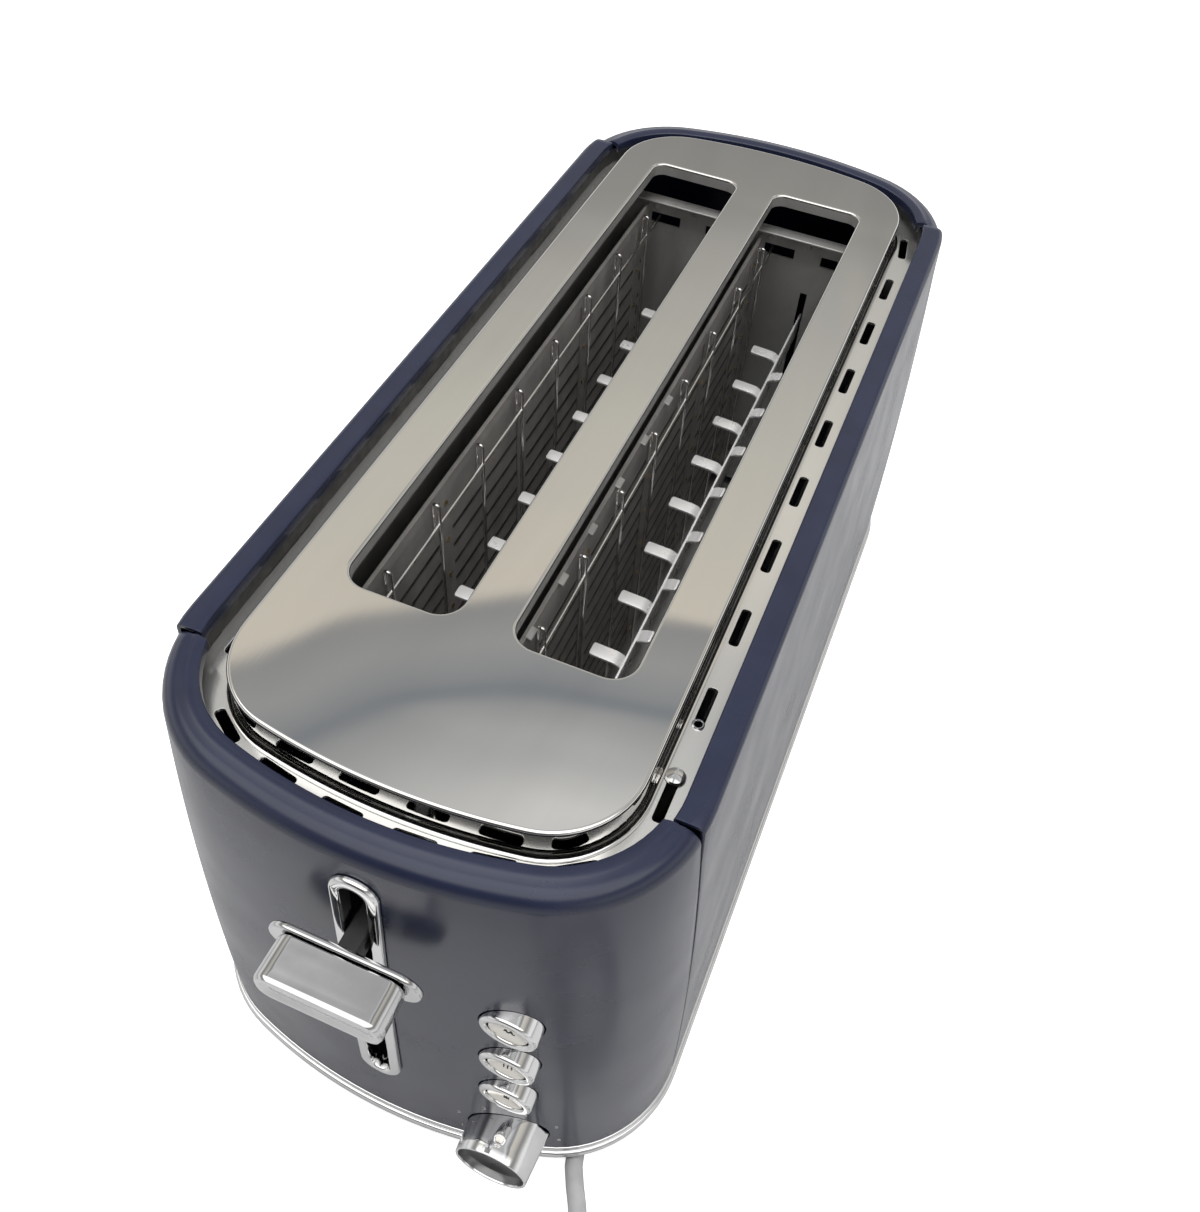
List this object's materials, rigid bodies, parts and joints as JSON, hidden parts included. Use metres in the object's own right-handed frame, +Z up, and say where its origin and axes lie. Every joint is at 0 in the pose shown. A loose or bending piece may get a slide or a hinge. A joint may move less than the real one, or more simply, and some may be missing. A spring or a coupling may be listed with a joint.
{
  "type": "long-slot toaster",
  "caption": "Long toaster with side-by-side bread slots, a painted shell, a polished top with vents, a chrome lever, push buttons, a browning knob and a mains cord.",
  "frame": {"origin": "on the floor, under the middle of the toaster measured without its cord", "axes": "+Z up, the controls face -Y, +Y runs along the bread slots to the rear, +X to the right seen from the front"},
  "size_m": [0.262, 0.6289, 0.1937],
  "materials": {
    "navy_paint": "satin",
    "polished_steel": "polished",
    "chrome": "polished",
    "plated_steel": "plated sheet",
    "mica": "matte",
    "black_plastic": "matte",
    "black_rubber": "matte",
    "grey_rubber": "satin",
    "board_green": "matte",
    "copper_winding": "lacquered",
    "cream_cap": "polished",
    "brass": "polished"
  },
  "bodies": {
    "housing": {"front_end_cap": "navy_paint", "rear_end_cap": "navy_paint", "left_side_panel": "navy_paint", "right_side_panel": "navy_paint", "base_trim_ring": "chrome", "base_tray": "black_plastic", "foot_1": "black_rubber", "foot_2": "black_rubber", "foot_3": "black_rubber", "foot_4": "black_rubber", "vent_deck": "polished_steel", "top_plate": "polished_steel", "front_chassis_plate": "plated_steel", "rear_chassis_plate": "plated_steel", "heater_board_1": "mica", "heater_board_2": "mica", "heater_board_3": "mica", "heater_board_4": "mica", "side_heat_shield_left": "plated_steel", "side_heat_shield_right": "plated_steel", "guide_rod_left": "plated_steel", "guide_rod_right": "plated_steel", "carriage_spring": "plated_steel", "electromagnet": "copper_winding", "lever_escutcheon": "chrome", "control_board": "board_green", "board_spacer_1": "plated_steel", "board_spacer_2": "plated_steel", "potentiometer": "plated_steel", "potentiometer_bush": "brass", "cord_strain_relief": "black_rubber", "cord_run": "grey_rubber", "cord_coil": "grey_rubber", "cord_tail": "grey_rubber", "plug_body": "black_rubber", "plug_blade_1": "brass", "plug_blade_2": "brass", "plug_earth_pin": "brass"},
    "carriage": {"carriage_block": "plated_steel", "armature_plate": "plated_steel", "lever_stem": "black_plastic", "lever_flange": "chrome", "lever_knob": "chrome", "bread_lift_left": "plated_steel", "bread_lift_right": "plated_steel"},
    "guard_1": {"bread_guard_1": "plated_steel"},
    "guard_2": {"bread_guard_2": "plated_steel"},
    "guard_3": {"bread_guard_3": "plated_steel"},
    "guard_4": {"bread_guard_4": "plated_steel"},
    "push_button_1": {"button_1": "chrome", "button_cap_1": "cream_cap"},
    "push_button_2": {"button_2": "chrome", "button_cap_2": "cream_cap"},
    "push_button_3": {"button_3": "chrome", "button_cap_3": "cream_cap"},
    "browning_control": {"browning_knob": "chrome"},
    "crumb_drawer": {"crumb_tray": "plated_steel"}
  },
  "joints": [
    {"name": "carriage_slide", "type": "slide", "parent": "housing", "child": "carriage", "axis": [0, 0, -1], "range_m": [-0.012, 0.07], "stiffness_N_per_m": 60, "springref_m": -0.0505, "deforming": ["carriage_spring"]},
    {"name": "guard_1_slide", "type": "slide", "parent": "housing", "child": "guard_1", "axis": [1, 0, 0], "range_m": [-0.0009, 0.00525]},
    {"name": "guard_2_slide", "type": "slide", "parent": "housing", "child": "guard_2", "axis": [-1, 0, 0], "range_m": [-0.0009, 0.00525]},
    {"name": "guard_3_slide", "type": "slide", "parent": "housing", "child": "guard_3", "axis": [1, 0, 0], "range_m": [-0.0009, 0.00525]},
    {"name": "guard_4_slide", "type": "slide", "parent": "housing", "child": "guard_4", "axis": [-1, 0, 0], "range_m": [-0.0009, 0.00525]},
    {"name": "button_1_press", "type": "slide", "parent": "housing", "child": "push_button_1", "axis": [0, 1, 0], "range_m": [0, 0.0018], "stiffness_N_per_m": 500, "springref_m": -0.001},
    {"name": "button_2_press", "type": "slide", "parent": "housing", "child": "push_button_2", "axis": [0, 1, 0], "range_m": [0, 0.0018], "stiffness_N_per_m": 500, "springref_m": -0.001},
    {"name": "button_3_press", "type": "slide", "parent": "housing", "child": "push_button_3", "axis": [0, 1, 0], "range_m": [0, 0.0018], "stiffness_N_per_m": 500, "springref_m": -0.001},
    {"name": "browning_turn", "type": "hinge", "parent": "housing", "child": "browning_control", "pos_m": [0.0453, -0.19305, 0.0307], "axis": [0, 0.9981, -0.0611], "range_deg": [-182, 41]},
    {"name": "crumb_tray_slide", "type": "slide", "parent": "housing", "child": "crumb_drawer", "axis": [0, 1, 0], "range_m": [0, 0.25]}
  ],
  "couplings": [
    {"joint": "guard_1_slide", "follows": "carriage_slide", "ratio": 0.075},
    {"joint": "guard_2_slide", "follows": "carriage_slide", "ratio": 0.075},
    {"joint": "guard_3_slide", "follows": "carriage_slide", "ratio": 0.075},
    {"joint": "guard_4_slide", "follows": "carriage_slide", "ratio": 0.075}
  ]
}
